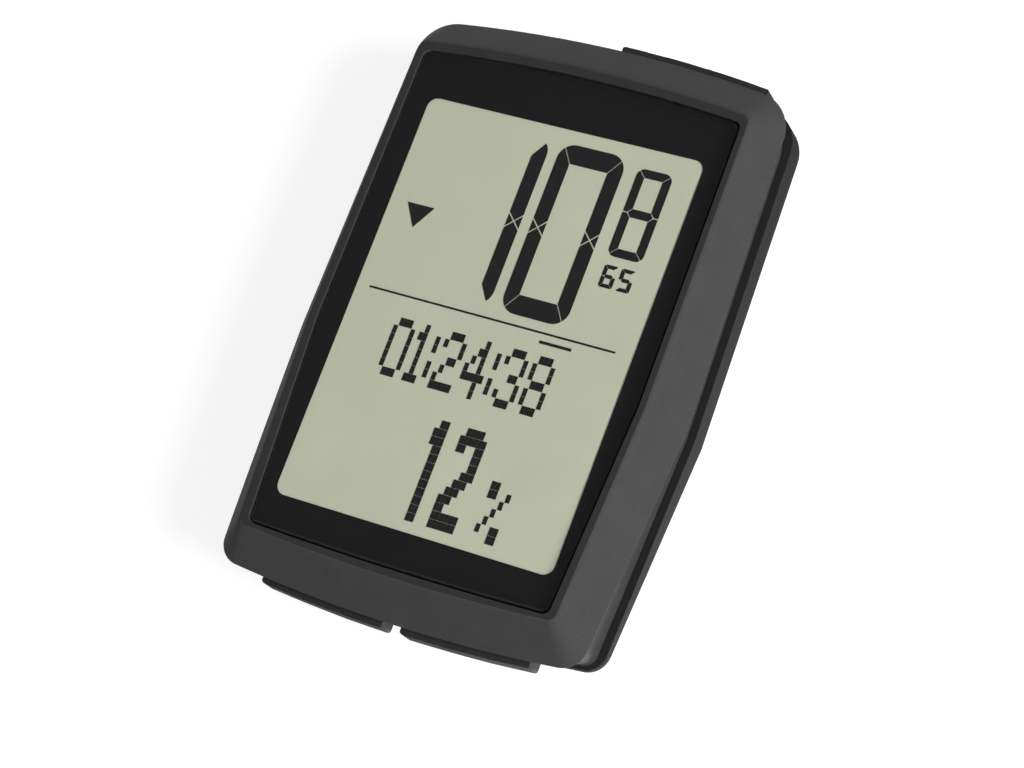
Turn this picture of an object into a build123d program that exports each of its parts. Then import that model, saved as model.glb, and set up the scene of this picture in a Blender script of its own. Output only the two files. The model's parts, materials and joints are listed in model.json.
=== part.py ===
from build123d import *
from math import radians, sqrt, tan
from typing import NamedTuple
import os

# A cycling computer's head unit, in millimetres. An upper and a lower shell meet at a recessed waist and
# hold a reflective display, a circuit board and a coin cell. Three push buttons slide through the waist,
# and a screw-in cover closes the battery bay inside the bayonet foot.
# The origin is the centre of the foot on its bottom face. +X is right across the display, +Y is towards
# the display's top edge, and +Z comes out of the display.

# ---- Case heights ----
foot_height = 3.2
shoulder_rise = 0.2
parting_tilt_top = 0.014
parting_tilt_bottom = 0.065
rim_drop = 0.1
eave_top = 0.22
eave_bottom = 0.74
kink_dip = 0.75

# ---- Display window, and the case outlines round it from the lens out to the case's edge ----
window_width = 30.0
window_length = 42.5
window_y = -1.08
window_radius = 1.1
kink_step = 3.58
border_top = 5.2
border_bottom = 3.75
border_side_top = 2.12
border_side_kink = 2.33
border_side_bottom = 1.1
lens_rise_top = 0.86
lens_rise_bottom = 0.32
lens_corner = 0.7
rim_top = 1.15
rim_bottom = 1.0
rim_side_top = 0.91
rim_side_kink = 0.94
rim_side_bottom = 1.05
rim_rise_top = 0.99
rim_rise_bottom = 0.69
rim_corner_top = 1.0
rim_corner_bottom = 0.9
chamfer_top = 3.96
chamfer_bottom = 3.6
chamfer_side_top = 2.17
chamfer_side_kink = 2.85
chamfer_side_bottom = 2.47
edge_rise_top = 1.5
edge_rise_bottom = 1.2
edge_corner_top = 4.2
edge_corner_bottom = 2.4

# ---- Case walls ----
rim_bevel = 0.15
shoulder_bevel = 0.3
back_bevel = 0.25
edge_margin = 1.0
waist_side_inset = 0.95
waist_end_inset = 1.6
waist_lap = 0.05
lower_side_inset = 0.15
lower_top_inset = 0.15
lower_bottom_inset = 1.25
back_inset = 3.4
wall = 1.4
floor_thickness = 1.4
floor_inset = 2.0
floor_rise = 0.6
roof_thickness = 1.2
least_radius = 0.5

# ---- Lens and display ----
lens_thickness = 1.2
lens_gap = 0.12
lens_chamfer = 0.25
mask_thickness = 0.05
tape_thickness = 0.15
tape_inset = 0.1
display_side_margin = 0.7
display_top_margin = 1.0
display_bottom_margin = 2.4
ledge_length = 1.9
display_gap = 0.2
display_top_gap = 0.4
cell_margin = 0.3
polarizer_thickness = 0.18
glass_thickness = 0.55
reflector_thickness = 0.2
display_air_gap = 0.05
driver_size = (14.0, 1.0, 0.4)
driver_edge_gap = 0.75
frame_border = 2.6
frame_plate = 0.9
frame_rise = 3.52
frame_leg_size = 2.0
frame_leg_y = 13.0
frame_leg_side_gap = 0.2
flex_inset = 0.8
flex_thickness = 0.12
flex_bend = 0.8
flex_reach = 0.9
flex_bond = 0.6
flex_relief = 1.2
flex_relief_gap = 0.3
connector_depth = 2.2
connector_height = 1.0
connector_side_gap = 0.25
connector_gap = 3.4

# ---- Circuit board and what it carries ----
board_thickness = 0.8
board_side_gap = 0.7
board_end_gap = 1.45
board_boss_gap = 0.3
controller_size = (9.0, 9.0, 1.4)
controller_spot = (5.0, -7.0)
receiver_chip_size = (5.0, 5.0, 0.9)
receiver_chip_spot = (-6.0, -9.0)
crystal_radius = 1.0
crystal_length = 6.0
crystal_spot = (-9.0, 0.0)
coil_radius = 1.5
coil_length = 9.0
ferrite_radius = 0.8
ferrite_length = 14.0
coil_fit = 0.05
coil_spot = (0.0, 11.0)
sensor_size = (3.8, 3.6, 1.3)
vent_step = 3.55
vent_radius = 0.7
membrane_radius = 2.4
membrane_thickness = 0.3
capacitor_size = (1.6, 0.8, 0.8)
capacitor_pitch = 2.6
capacitor_count = 4
capacitor_row_y = -15.5
rest_radius = 1.3
rest_inset = 1.5
rest_y = 13.5

# ---- Push buttons and their switches ----
button_height = 2.6
button_lift = 0.35
button_travel = 0.4
button_stop_gap = 0.15
button_proud_top = 0.68
button_proud_bottom = 0.48
button_round = 0.3
bottom_button_start = 1.0
bottom_button_inset = 0.4
top_button_start = 1.0
top_button_reach = 2.0
stem_rise = 1.2
stem_size = (5.0, 1.5)
stem_fit = 0.06
seal_size = (7.4, 2.1)
seal_fit = 0.03
seal_pocket_gap = 0.02
seal_thickness = 0.5
seal_seat = 0.35
barb_gap = 0.06
barb_reach = 0.6
barb_length = 0.6
tip_length = 0.5
tip_gap = 0.05
plunger_size = (2.4, 1.1)
plunger_fit = 0.05
plunger_proud = 0.8
plunger_depth = 1.2
switch_size = (5.0, 3.4, 2.2)

# ---- Battery bay, cover and foot ----
cell_radius = 10.0
cell_height = 3.2
cell_rim = 0.9
cell_cap_step = 0.3
cell_round = 0.4
cell_gap = 0.1
bay_gap = 0.4
cover_recess = 0.4
cover_floor = 3.0
head_thickness = 1.2
cover_round = 0.3
seal_space = 0.8
seal_squeeze_gap = 0.03
cup_wall = 1.0
finger_space = 0.9
thread_fit = 0.05
thread_length = 2.5
cup_clearance = 0.3
cup_top_gap = 0.1
head_overlap = 1.3
head_gap = 0.3
foot_wall = 2.1
sleeve_wall = 1.0
sleeve_clearance = 0.4
coin_slot = (16.0, 1.9, 1.1)
lug_count = 4
lug_reach = 1.8
lug_thickness = 1.3
lug_angle = 24.0
lug_turn = 45.0
contact_thickness = 0.25
contact_width = 4.6
contact_gap = 0.03
contact_tab = 2.4
contact_slot_gap = 0.4
finger_reach = 5.6
finger_width = 2.4
finger_root = 3.0

# ---- Fasteners and gasket ----
screw_inset = 1.8
screw_step = 0.75
screw_radius = 0.8
screw_fit = 0.02
screw_clearance = 0.15
screw_point_gap = 0.4
head_radius = 1.6
head_height = 1.1
head_depth = 1.2
head_clearance = 0.2
driver_slot = (1.9, 0.45, 0.6)
boss_radius = 2.2
boss_frame_gap = 0.05
boss_plate_gap = 0.22
boss_step = 0.3
boss_cap = 1.0
boss_root = 0.3
web_thickness = 1.2
gasket_inset = 0.28
gasket_width = 0.6
gasket_depth = 0.6
gasket_gap = 0.02

# ---- Heights that follow from those, from the battery cover up to the lens ----
head_top = cover_recess + head_thickness
ledge_low = head_top + seal_space
thread_top = ledge_low + thread_length
cup_z = cover_recess + cover_floor
cell_z = cup_z + cell_gap
cell_top = cell_z + cell_height
board_height = cell_top + finger_space
board_top = board_height + board_thickness
frame_z = board_top + frame_rise
reflector_z = frame_z + frame_plate
rear_glass_z = reflector_z + reflector_thickness
front_glass_z = rear_glass_z + glass_thickness
polarizer_z = front_glass_z + glass_thickness
mask_z = polarizer_z + polarizer_thickness + display_air_gap
ledge_z = mask_z - tape_thickness
roof_z = ledge_z - roof_thickness
lens_z = mask_z + mask_thickness
total_height = lens_z + lens_thickness
floor_z = foot_height + floor_thickness
shoulder_height = floor_z + shoulder_rise
boss_split = board_height + boss_step
screw_grip = frame_z - boss_plate_gap - boss_cap - boss_split
stem_height = board_top + stem_rise
button_low = stem_height + button_lift - button_height / 2
button_high = button_low + button_height
rim_z = total_height - rim_drop
edge_z_top = button_high + eave_top
edge_z_bottom = button_high + eave_bottom
edge_z_kink = edge_z_top - kink_dip
edge_drop_top = rim_z - edge_z_top
edge_drop_kink = rim_z - edge_z_kink
edge_drop_bottom = rim_z - edge_z_bottom
base_drop = edge_drop_kink
base_z = rim_z - base_drop

# ---- Places that follow from the window ----
display_width = window_width + 2 * display_side_margin
display_top = window_y + window_length / 2 + display_top_margin
display_bottom = window_y - window_length / 2 - display_bottom_margin
display_length = display_top - display_bottom
display_y = (display_top + display_bottom) / 2
cell_bottom_edge = display_bottom + ledge_length
opening_width = display_width + 2 * display_gap
opening_top = display_top + display_top_gap
opening_bottom = display_bottom - display_gap
opening_length = opening_top - opening_bottom
opening_y = (opening_top + opening_bottom) / 2
kink_y = window_y - kink_step
screw_x = window_width / 2 - screw_inset
screw_top_y = display_top - cell_margin + boss_radius + boss_frame_gap
screw_bottom_y = cell_bottom_edge + screw_step
rest_x = window_width / 2 - rest_inset
bottom_button_end = window_width / 2 - bottom_button_inset
top_button_end = window_width / 2 + top_button_reach
stem_x = (bottom_button_start + bottom_button_end) / 2
connector_width = 2 * (stem_x - switch_size[0] / 2 - connector_side_gap)
flex_width = connector_width - 2 * flex_inset
vent_spot = (0, cell_bottom_edge + vent_step)
spigot_radius = cell_radius + cup_clearance + cup_wall


class Outline(NamedTuple):
    """A case outline seen from the front: two arched ends and sides that bend at the kink."""

    top: float
    bottom: float
    half_top: float
    half_kink: float
    half_bottom: float
    top_rise: float
    bottom_rise: float
    top_radius: float
    bottom_radius: float


lens_outline = Outline(
    top=window_y + window_length / 2 + border_top,
    bottom=window_y - window_length / 2 - border_bottom,
    half_top=window_width / 2 + border_side_top,
    half_kink=window_width / 2 + border_side_kink,
    half_bottom=window_width / 2 + border_side_bottom,
    top_rise=lens_rise_top,
    bottom_rise=lens_rise_bottom,
    top_radius=lens_corner,
    bottom_radius=lens_corner,
)
rim_outline = Outline(
    top=lens_outline.top + rim_top,
    bottom=lens_outline.bottom - rim_bottom,
    half_top=lens_outline.half_top + rim_side_top,
    half_kink=lens_outline.half_kink + rim_side_kink,
    half_bottom=lens_outline.half_bottom + rim_side_bottom,
    top_rise=rim_rise_top,
    bottom_rise=rim_rise_bottom,
    top_radius=rim_corner_top,
    bottom_radius=rim_corner_bottom,
)
edge_outline = Outline(
    top=rim_outline.top + chamfer_top,
    bottom=rim_outline.bottom - chamfer_bottom,
    half_top=rim_outline.half_top + chamfer_side_top,
    half_kink=rim_outline.half_kink + chamfer_side_kink,
    half_bottom=rim_outline.half_bottom + chamfer_side_bottom,
    top_rise=edge_rise_top,
    bottom_rise=edge_rise_bottom,
    top_radius=edge_corner_top,
    bottom_radius=edge_corner_bottom,
)
case_reach = edge_outline.top - edge_outline.bottom


def extend(at_rim, at_edge, edge_drop):
    """Carry the chamfer on from the rim through the edge, down to the lowest point of the edge."""
    return at_rim + (at_edge - at_rim) * base_drop / edge_drop


base_outline = Outline(
    top=extend(rim_outline.top, edge_outline.top, edge_drop_top),
    bottom=extend(rim_outline.bottom, edge_outline.bottom, edge_drop_bottom),
    half_top=extend(rim_outline.half_top, edge_outline.half_top, edge_drop_top),
    half_kink=extend(rim_outline.half_kink, edge_outline.half_kink, edge_drop_kink),
    half_bottom=extend(rim_outline.half_bottom, edge_outline.half_bottom, edge_drop_bottom),
    top_rise=extend(rim_outline.top_rise, edge_outline.top_rise, edge_drop_top),
    bottom_rise=extend(rim_outline.bottom_rise, edge_outline.bottom_rise, edge_drop_bottom),
    top_radius=extend(rim_outline.top_radius, edge_outline.top_radius, edge_drop_top),
    bottom_radius=extend(rim_outline.bottom_radius, edge_outline.bottom_radius, edge_drop_bottom),
)


def inset(shape, side, top, bottom):
    """Move an outline inwards by its own distance at the sides, the top end and the bottom end."""
    return Outline(
        top=shape.top - top,
        bottom=shape.bottom + bottom,
        half_top=shape.half_top - side,
        half_kink=shape.half_kink - side,
        half_bottom=shape.half_bottom - side,
        top_rise=shape.top_rise * ((shape.half_top - side) / shape.half_top) ** 2,
        bottom_rise=shape.bottom_rise * ((shape.half_bottom - side) / shape.half_bottom) ** 2,
        top_radius=max(shape.top_radius - side, least_radius),
        bottom_radius=max(shape.bottom_radius - side, least_radius),
    )


def between(first, second, share):
    """Blend two outlines. A share of 0 gives the first one and 1 gives the second."""
    return Outline(*(start + (stop - start) * share for start, stop in zip(first, second)))


rim_slope_outline = between(rim_outline, base_outline, rim_bevel / base_drop)
rim_crown_outline = inset(rim_outline, rim_bevel, rim_bevel, rim_bevel)
waist_outline = inset(edge_outline, waist_side_inset, waist_end_inset, waist_end_inset)
lower_outline = inset(edge_outline, lower_side_inset, lower_top_inset, lower_bottom_inset)
back_outline = inset(lower_outline, back_inset, back_inset, back_inset)
back_drop = shoulder_height - foot_height
back_slope_outline = between(back_outline, lower_outline, back_bevel / back_drop)
back_crown_outline = inset(back_outline, back_bevel, back_bevel, back_bevel)
shoulder_slope_outline = between(lower_outline, back_outline, shoulder_bevel / back_drop)
cavity_outline = inset(waist_outline, wall, wall, wall)
floor_outline = inset(cavity_outline, floor_inset, floor_inset, floor_inset)
board_outline = inset(cavity_outline, board_side_gap, board_end_gap, board_end_gap)


def parting_z(y):
    """Height of the joint between the two shells at a place along the case. It bends at the kink."""
    tilt = parting_tilt_top if y > kink_y else parting_tilt_bottom
    return board_height + tilt * (y - kink_y)


def arch(shape, end, x):
    """Distance of an outline's end arch from the X axis, at x. end is 1 at the top, -1 at the bottom."""
    crown = shape.top if end > 0 else -shape.bottom
    rise = shape.top_rise if end > 0 else shape.bottom_rise
    half = shape.half_top if end > 0 else shape.half_bottom
    radius = (half**2 + rise**2) / (2 * rise)
    return crown - radius + sqrt(radius**2 - x**2)


def draw_outline(shape):
    """Draw an outline as a face in the sketch that is open."""
    top_corner = shape.top - shape.top_rise
    bottom_corner = shape.bottom + shape.bottom_rise
    with BuildLine() as sides:
        ThreePointArc((-shape.half_top, top_corner), (0, shape.top), (shape.half_top, top_corner))
        Polyline(
            (shape.half_top, top_corner),
            (shape.half_kink, kink_y),
            (shape.half_bottom, bottom_corner),
        )
        ThreePointArc(
            (shape.half_bottom, bottom_corner),
            (0, shape.bottom),
            (-shape.half_bottom, bottom_corner),
        )
        Polyline(
            (-shape.half_bottom, bottom_corner),
            (-shape.half_kink, kink_y),
            (-shape.half_top, top_corner),
        )
    make_face(sides.edges())
    fillet(vertices().sort_by(Axis.Y)[-2:], radius=shape.top_radius)
    fillet(vertices().sort_by(Axis.Y)[:2], radius=shape.bottom_radius)


def prism(shape, low_z, high_z, mode=Mode.ADD):
    """Add an outline's straight-sided block to the part that is open, or cut it away."""
    with BuildSketch(Plane.XY.offset(low_z)) as profile:
        draw_outline(shape)
    extrude(profile.sketch, amount=high_z - low_z, mode=mode)


def tapered(*levels, mode=Mode.ADD):
    """Add the ruled block through some outlines, each given with its height, or cut it away."""
    sections = []
    for shape, height in levels:
        with BuildSketch(Plane.XY.offset(height)) as section:
            draw_outline(shape)
        sections.append(section.sketch.face())
    loft(sections, ruled=True, mode=mode)


def block(x, y, low_z, size, mode=Mode.ADD):
    """Add a box centred at x, y that stands on low_z, or cut it away."""
    with BuildSketch(Plane.XY.offset(low_z)) as profile:
        with Locations((x, y)):
            Rectangle(size[0], size[1])
    extrude(profile.sketch, amount=size[2], mode=mode)


def disc(x, y, low_z, radius, height, mode=Mode.ADD):
    """Add an upright cylinder centred at x, y that stands on low_z, or cut it away."""
    with BuildSketch(Plane.XY.offset(low_z)) as profile:
        with Locations((x, y)):
            Circle(radius)
    extrude(profile.sketch, amount=height, mode=mode)


def rounded_window(low_z, height):
    """Cut the display window's rounded opening out of the part that is open."""
    with BuildSketch(Plane.XY.offset(low_z)) as profile:
        with Locations((0, window_y)):
            RectangleRounded(window_width, window_length, window_radius)
    extrude(profile.sketch, amount=height, mode=Mode.SUBTRACT)


def ring(outer, inner, low_z, high_z):
    """Add the straight-sided ring between two outlines to the part that is open."""
    prism(outer, low_z, high_z)
    prism(inner, low_z, high_z, Mode.SUBTRACT)


def side_cut(points):
    """Cut away everything inside a profile drawn from the side, right across the case."""
    with BuildSketch(Plane.YZ) as profile:
        Polygon(*points, align=None)
    extrude(profile.sketch, amount=case_reach, both=True, mode=Mode.SUBTRACT)


def cut_at_parting(far_z, drop=0.0):
    """Cut away what lies between the joint of the two shells, moved down by drop, and a far height."""
    joint = [(y, parting_z(y) - drop) for y in (-case_reach, kink_y, case_reach)]
    side_cut([*joint, (case_reach, far_z), (-case_reach, far_z)])


def keep_above_parting(drop=0.0):
    """Cut the open part off along the joint between the shells, keeping what is above it."""
    cut_at_parting(-case_reach, drop)


def keep_below_parting():
    """Cut the open part off along the joint between the shells, keeping what is below it."""
    cut_at_parting(case_reach)


def write(finished, label):
    """Name a finished piece and write it to its own file."""
    finished.part.label = label
    export_step(finished.part, f"parts/{label}.step")


class Button(NamedTuple):
    """Where one push button lies: its end of the case, its span along X and its stem's place."""

    name: str
    end: int
    start: float
    stop: float
    stem_x: float


buttons = [
    Button("left", -1, -bottom_button_end, -bottom_button_start, -stem_x),
    Button("right", -1, bottom_button_start, bottom_button_end, stem_x),
    Button("top", 1, top_button_start, top_button_end, stem_x),
]


def seat(button):
    """Distance from the X axis of the flat seat of a button's seal, in the waist wall's inner side."""
    return arch(cavity_outline, button.end, button.stem_x) + seal_seat


def switch_face(button):
    """Distance from the X axis of the front face of a button's switch."""
    tip = seat(button) - seal_thickness - barb_gap - barb_length - tip_length
    return tip - tip_gap - plunger_proud


def end_block(button, near, far, width, height, mode=Mode.ADD):
    """Add a block at a button's stem from one distance from the X axis to another, or cut it away."""
    block(button.stem_x, button.end * (near + far) / 2, stem_height - height / 2,
          (width, far - near, height), mode)


# ---- Upper shell ----
os.makedirs("parts", exist_ok=True)
boss_spots = [
    (-screw_x, screw_top_y, roof_z),
    (screw_x, screw_top_y, roof_z),
    (-screw_x, screw_bottom_y, boss_split + screw_grip + boss_cap),
    (screw_x, screw_bottom_y, boss_split + screw_grip + boss_cap),
]

with BuildPart() as upper_shell:
    tapered((base_outline, base_z), (rim_slope_outline, rim_z - rim_bevel), (rim_crown_outline, rim_z))
    side_cut([
        (base_outline.bottom - edge_margin, edge_z_bottom),
        (edge_outline.bottom, edge_z_bottom),
        (kink_y, edge_z_kink),
        (edge_outline.top, edge_z_top),
        (base_outline.top + edge_margin, edge_z_top),
        (base_outline.top + edge_margin, base_z - edge_margin),
        (base_outline.bottom - edge_margin, base_z - edge_margin),
    ])
    prism(waist_outline, parting_z(-case_reach), edge_z_bottom + waist_lap)
    keep_above_parting()
    prism(cavity_outline, parting_z(-case_reach), roof_z, Mode.SUBTRACT)
    prism(inset(lens_outline, -lens_gap, -lens_gap, -lens_gap), ledge_z, total_height, Mode.SUBTRACT)
    block(0, opening_y, roof_z, (opening_width, opening_length, roof_thickness), Mode.SUBTRACT)
    block(0, opening_bottom - flex_relief / 2, roof_z,
          (flex_width + 2 * flex_relief_gap, flex_relief, front_glass_z + flex_relief_gap - roof_z),
          Mode.SUBTRACT)
    for x, y, top in boss_spots:
        disc(x, y, boss_split, boss_radius, top - boss_split)
    for side in (-1, 1):
        inner_half = screw_x
        outer_half = cavity_outline.half_kink
        block(side * (inner_half + outer_half) / 2, screw_bottom_y, boss_split + web_thickness,
              (outer_half - inner_half, web_thickness, screw_grip + boss_cap - web_thickness))
    for x, y, top in boss_spots:
        disc(x, y, boss_split, screw_radius + screw_fit, screw_grip + screw_point_gap, Mode.SUBTRACT)
    for button in buttons:
        end_block(button, seat(button) - seal_seat - seal_thickness, seat(button),
                  seal_size[0] + 2 * seal_pocket_gap, seal_size[1] + 2 * seal_pocket_gap, Mode.SUBTRACT)
        end_block(button, seat(button) - wall, seat(button) + wall, stem_size[0] + 2 * stem_fit,
                  stem_size[1] + 2 * stem_fit, Mode.SUBTRACT)
write(upper_shell, "upper_shell")

# ---- Lower shell with the battery bay and the bayonet foot ----
bore_radius = spigot_radius + thread_fit
recess_radius = spigot_radius + head_overlap + head_gap
foot_radius = recess_radius + foot_wall
bay_radius = cell_radius + bay_gap
sleeve_radius = bore_radius + sleeve_wall
sleeve_top = board_height - sleeve_clearance
head_seat = foot_height + head_depth
screw_spots = [(x, y) for x, y, top in boss_spots]
cavity_low = shoulder_height + floor_rise
groove_outline = inset(waist_outline, gasket_inset, gasket_inset, gasket_inset)
groove_end = gasket_inset + gasket_width
groove_inner = inset(waist_outline, groove_end, groove_end, groove_end)

with BuildPart() as gasket_groove:
    ring(groove_outline, groove_inner, cavity_low, parting_z(case_reach))
    keep_above_parting(gasket_depth)

with BuildPart() as lower_shell:
    tapered(
        (back_crown_outline, foot_height),
        (back_slope_outline, foot_height + back_bevel),
        (shoulder_slope_outline, shoulder_height - shoulder_bevel),
        (lower_outline, shoulder_height + shoulder_bevel),
        (lower_outline, parting_z(case_reach)),
    )
    keep_below_parting()
    tapered((floor_outline, floor_z), (cavity_outline, cavity_low), mode=Mode.SUBTRACT)
    prism(cavity_outline, cavity_low, parting_z(case_reach), Mode.SUBTRACT)
    add(gasket_groove.part, mode=Mode.SUBTRACT)
    disc(0, 0, 0, foot_radius, foot_height)
    with BuildSketch() as lugs:
        Circle(foot_radius + lug_reach)
        half_gap = radians((360 / lug_count - lug_angle) / 2)
        reach = 2 * foot_radius
        with PolarLocations(0, lug_count, start_angle=lug_turn + 180 / lug_count):
            Polygon((0, 0), (reach, -reach * tan(half_gap)), (reach, reach * tan(half_gap)),
                    align=None, mode=Mode.SUBTRACT)
    extrude(lugs.sketch, amount=lug_thickness)
    disc(0, 0, floor_z, sleeve_radius, sleeve_top - floor_z)
    for x, y in screw_spots:
        disc(x, y, floor_z - boss_root, boss_radius, boss_split - floor_z + boss_root)
    for x in (-rest_x, rest_x):
        for y in (-rest_y, rest_y):
            disc(x, y, floor_z - boss_root, rest_radius, board_height - floor_z + boss_root)
    disc(0, 0, 0, recess_radius, ledge_low, Mode.SUBTRACT)
    disc(0, 0, ledge_low, bore_radius, thread_length, Mode.SUBTRACT)
    disc(0, 0, thread_top, bay_radius, sleeve_top - thread_top, Mode.SUBTRACT)
    block(sleeve_radius, 0, thread_top,
          (2 * (sleeve_radius - cell_radius), contact_width + 2 * contact_slot_gap, sleeve_top - thread_top),
          Mode.SUBTRACT)
    for x, y in screw_spots:
        disc(x, y, foot_height, head_radius + head_clearance, head_depth, Mode.SUBTRACT)
        disc(x, y, head_seat, screw_radius + screw_clearance, boss_split - head_seat, Mode.SUBTRACT)
    disc(*vent_spot, foot_height, vent_radius, floor_thickness, Mode.SUBTRACT)
write(lower_shell, "lower_shell")

with BuildPart() as case_gasket:
    ring(inset(groove_outline, gasket_gap, gasket_gap, gasket_gap),
         inset(groove_inner, -gasket_gap, -gasket_gap, -gasket_gap), cavity_low, parting_z(case_reach))
    keep_above_parting(gasket_depth)
    keep_below_parting()
write(case_gasket, "case_gasket")

with BuildPart() as case_screws:
    for x, y in screw_spots:
        disc(x, y, head_seat - head_height, head_radius, head_height)
        disc(x, y, head_seat, screw_radius, boss_split + screw_grip - head_seat)
        block(x, y, head_seat - head_height, driver_slot, Mode.SUBTRACT)
        block(x, y, head_seat - head_height, (driver_slot[1], driver_slot[0], driver_slot[2]), Mode.SUBTRACT)
write(case_screws, "case_screws")

# ---- Lens, its printed border and its tape ----
with BuildPart() as display_lens:
    prism(lens_outline, lens_z, total_height)
    chamfer(edges().group_by(Axis.Z)[-1], length=lens_chamfer)
write(display_lens, "display_lens")

with BuildPart() as lens_border:
    prism(lens_outline, mask_z, lens_z)
    rounded_window(mask_z, mask_thickness)
write(lens_border, "lens_border")

with BuildPart() as lens_tape:
    prism(inset(lens_outline, tape_inset, tape_inset, tape_inset), ledge_z, mask_z)
    block(0, opening_y, ledge_z, (opening_width, opening_length, tape_thickness), Mode.SUBTRACT)
write(lens_tape, "lens_tape")

# ---- Reflective display cell ----
film_width = display_width - 2 * cell_margin
film_length = display_top - cell_bottom_edge - 2 * cell_margin
film_y = (display_top + cell_bottom_edge) / 2

with BuildPart() as front_polarizer:
    block(0, film_y, polarizer_z, (film_width, film_length, polarizer_thickness))
write(front_polarizer, "front_polarizer")

with BuildPart() as front_glass:
    block(0, display_y, front_glass_z, (display_width, display_length, glass_thickness))
write(front_glass, "front_glass")

with BuildPart() as rear_glass:
    block(0, film_y, rear_glass_z, (display_width, display_top - cell_bottom_edge, glass_thickness))
write(rear_glass, "rear_glass")

with BuildPart() as display_reflector:
    block(0, film_y, reflector_z, (film_width, film_length, reflector_thickness))
write(display_reflector, "display_reflector")

with BuildPart() as display_driver:
    driver_y = display_bottom + driver_edge_gap + driver_size[1] / 2
    block(0, driver_y, front_glass_z - driver_size[2], driver_size)
write(display_driver, "display_driver")

frame_leg_x = film_width / 2 - frame_leg_size / 2 - frame_leg_side_gap
with BuildPart() as display_frame:
    block(0, film_y, frame_z, (film_width, film_length, frame_plate))
    block(0, film_y, frame_z,
          (film_width - 2 * frame_border, film_length - 2 * frame_border, frame_plate), Mode.SUBTRACT)
    for x in (-frame_leg_x, frame_leg_x):
        for y in (window_y - frame_leg_y, window_y + frame_leg_y):
            block(x, y, board_top, (frame_leg_size, frame_leg_size, frame_z - board_top))
write(display_frame, "display_frame")

connector_front = display_bottom - flex_reach + connector_gap
flex_out = display_bottom - flex_reach
flex_top = front_glass_z - flex_thickness / 2
flex_low = board_top + connector_height / 2
with BuildPart() as display_flex:
    with BuildSketch(Plane.YZ) as ribbon:
        with BuildLine() as ribbon_path:
            FilletPolyline(
                (display_bottom + flex_bond, flex_top),
                (flex_out, flex_top),
                (flex_out, flex_low),
                (connector_front, flex_low),
                radius=flex_bend,
            )
        trace(ribbon_path.edges(), line_width=flex_thickness)
    extrude(ribbon.sketch, amount=flex_width / 2, both=True)
write(display_flex, "display_flex")

with BuildPart() as flex_connector:
    block(0, connector_front + connector_depth / 2, board_top,
          (connector_width, connector_depth, connector_height))
write(flex_connector, "flex_connector")

# ---- Circuit board and its parts ----
with BuildPart() as circuit_board:
    prism(board_outline, board_height, board_top)
    for x, y in screw_spots:
        disc(x, y, board_height, boss_radius + board_boss_gap, board_thickness, Mode.SUBTRACT)
write(circuit_board, "circuit_board")

with BuildPart() as controller_chip:
    block(*controller_spot, board_top, controller_size)
write(controller_chip, "controller_chip")

with BuildPart() as receiver_chip:
    block(*receiver_chip_spot, board_top, receiver_chip_size)
write(receiver_chip, "receiver_chip")

crystal_axis = Plane.XZ.offset(crystal_length / 2 - crystal_spot[1])
with BuildPart() as clock_crystal:
    with BuildSketch(crystal_axis):
        with Locations((crystal_spot[0], board_top + crystal_radius)):
            Circle(crystal_radius)
    extrude(amount=-crystal_length)
write(clock_crystal, "clock_crystal")

coil_z = board_top + coil_radius
with BuildPart() as receiver_coil:
    with BuildSketch(Plane.YZ.offset(coil_spot[0])):
        with Locations((coil_spot[1], coil_z)):
            Circle(coil_radius)
            Circle(ferrite_radius + coil_fit, mode=Mode.SUBTRACT)
    extrude(amount=coil_length / 2, both=True)
write(receiver_coil, "receiver_coil")

with BuildPart() as ferrite_rod:
    with BuildSketch(Plane.YZ.offset(coil_spot[0])):
        with Locations((coil_spot[1], coil_z)):
            Circle(ferrite_radius)
    extrude(amount=ferrite_length / 2, both=True)
write(ferrite_rod, "ferrite_rod")

with BuildPart() as pressure_sensor:
    block(*vent_spot, board_height - sensor_size[2], sensor_size)
write(pressure_sensor, "pressure_sensor")

with BuildPart() as vent_membrane:
    disc(*vent_spot, floor_z, membrane_radius, membrane_thickness)
write(vent_membrane, "vent_membrane")

with BuildPart() as capacitors:
    for index in range(capacitor_count):
        offset_x = (index - (capacitor_count - 1) / 2) * capacitor_pitch
        block(offset_x, capacitor_row_y, board_top, capacitor_size)
write(capacitors, "capacitors")

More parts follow.
